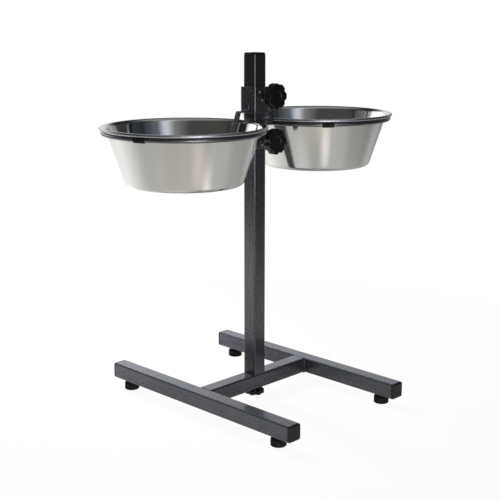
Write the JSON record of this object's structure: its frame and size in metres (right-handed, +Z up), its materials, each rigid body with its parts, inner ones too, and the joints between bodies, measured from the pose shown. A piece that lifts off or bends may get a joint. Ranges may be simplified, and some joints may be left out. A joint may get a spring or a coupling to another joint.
{
  "type": "raised dog feeder stand",
  "caption": "Raised dog feeder: square post on an H-shaped tube base, a height-adjustable carrier whose wire hoops hold lift-out steel bowls, and a sliding lock with fingers over the rims.",
  "frame": {"origin": "on the floor, under the post's axis", "axes": "X along the crossbar and the line of bowls, Y along the base bars with the clamp knobs at -Y, +Z up along the post"},
  "size_m": [0.5438, 0.405, 0.56],
  "materials": {
    "frame_paint": "anthracite hammered paint",
    "hoop_paint": "dark metallic gloss paint on wire",
    "cap_plastic": "dark grey moulded plastic",
    "knob_plastic": "black moulded plastic",
    "foot_rubber": "black rubber",
    "clip_rubber": "black rubber",
    "zinc_steel": "zinc-plated steel",
    "dark_steel": "blackened steel",
    "plug_steel": "plain steel",
    "bowl_steel": "polished stainless steel"
  },
  "bodies": {
    "base": {"left_base_bar": "frame_paint", "right_base_bar": "frame_paint", "cross_bar": "frame_paint", "post": "frame_paint", "post_plug": "plug_steel", "post_cap": "cap_plastic", "left_front_cap": "cap_plastic", "left_rear_cap": "cap_plastic", "right_front_cap": "cap_plastic", "right_rear_cap": "cap_plastic", "left_front_foot": "foot_rubber", "left_rear_foot": "foot_rubber", "right_front_foot": "foot_rubber", "right_rear_foot": "foot_rubber", "foot_screws": "zinc_steel"},
    "fixing_knob": {"fixing_knob": "knob_plastic", "fixing_screw": "zinc_steel"},
    "carrier": {"carrier_sleeve": "frame_paint", "carrier_nut": "frame_paint", "left_hoop": "hoop_paint", "right_hoop": "hoop_paint", "left_hoop_lug": "hoop_paint", "right_hoop_lug": "hoop_paint", "left_hoop_clips": "clip_rubber", "right_hoop_clips": "clip_rubber"},
    "carrier_knob": {"carrier_knob": "knob_plastic", "carrier_screw": "dark_steel"},
    "lock": {"lock_sleeve": "frame_paint", "lock_nut": "frame_paint", "left_lock_finger": "frame_paint", "right_lock_finger": "frame_paint"},
    "lock_knob": {"lock_knob": "knob_plastic", "lock_screw": "dark_steel"},
    "left_bowl": {"left_bowl": "bowl_steel"},
    "right_bowl": {"right_bowl": "bowl_steel"}
  },
  "joints": [
    {"name": "fixing_knob_turn", "type": "hinge", "parent": "base", "child": "fixing_knob", "pos_m": [0, 0, 0.01], "axis": [0, 0, -1], "range_deg": [0, 720]},
    {"name": "carrier_slide", "type": "slide", "parent": "base", "child": "carrier", "axis": [0, 0, 1], "range_m": [-0.325, 0.045]},
    {"name": "carrier_knob_turn", "type": "hinge", "parent": "carrier", "child": "carrier_knob", "pos_m": [0, -0.03, 0.42561], "axis": [0, -1, 0], "range_deg": [0, 720]},
    {"name": "lock_slide", "type": "slide", "parent": "carrier", "child": "lock", "axis": [0, 0, 1], "range_m": [0, 0.12]},
    {"name": "lock_knob_turn", "type": "hinge", "parent": "lock", "child": "lock_knob", "pos_m": [0, -0.03, 0.49461], "axis": [0, -1, 0], "range_deg": [0, 720]},
    {"name": "left_bowl_lift", "type": "slide", "parent": "carrier", "child": "left_bowl", "axis": [0, 0, 1], "range_m": [0, 0.09]},
    {"name": "right_bowl_lift", "type": "slide", "parent": "carrier", "child": "right_bowl", "axis": [0, 0, 1], "range_m": [0, 0.09]}
  ],
  "couplings": [
    {"joint": "left_bowl_lift", "follows": "lock_slide", "ratio": 0.75},
    {"joint": "right_bowl_lift", "follows": "lock_slide", "ratio": 0.75}
  ]
}
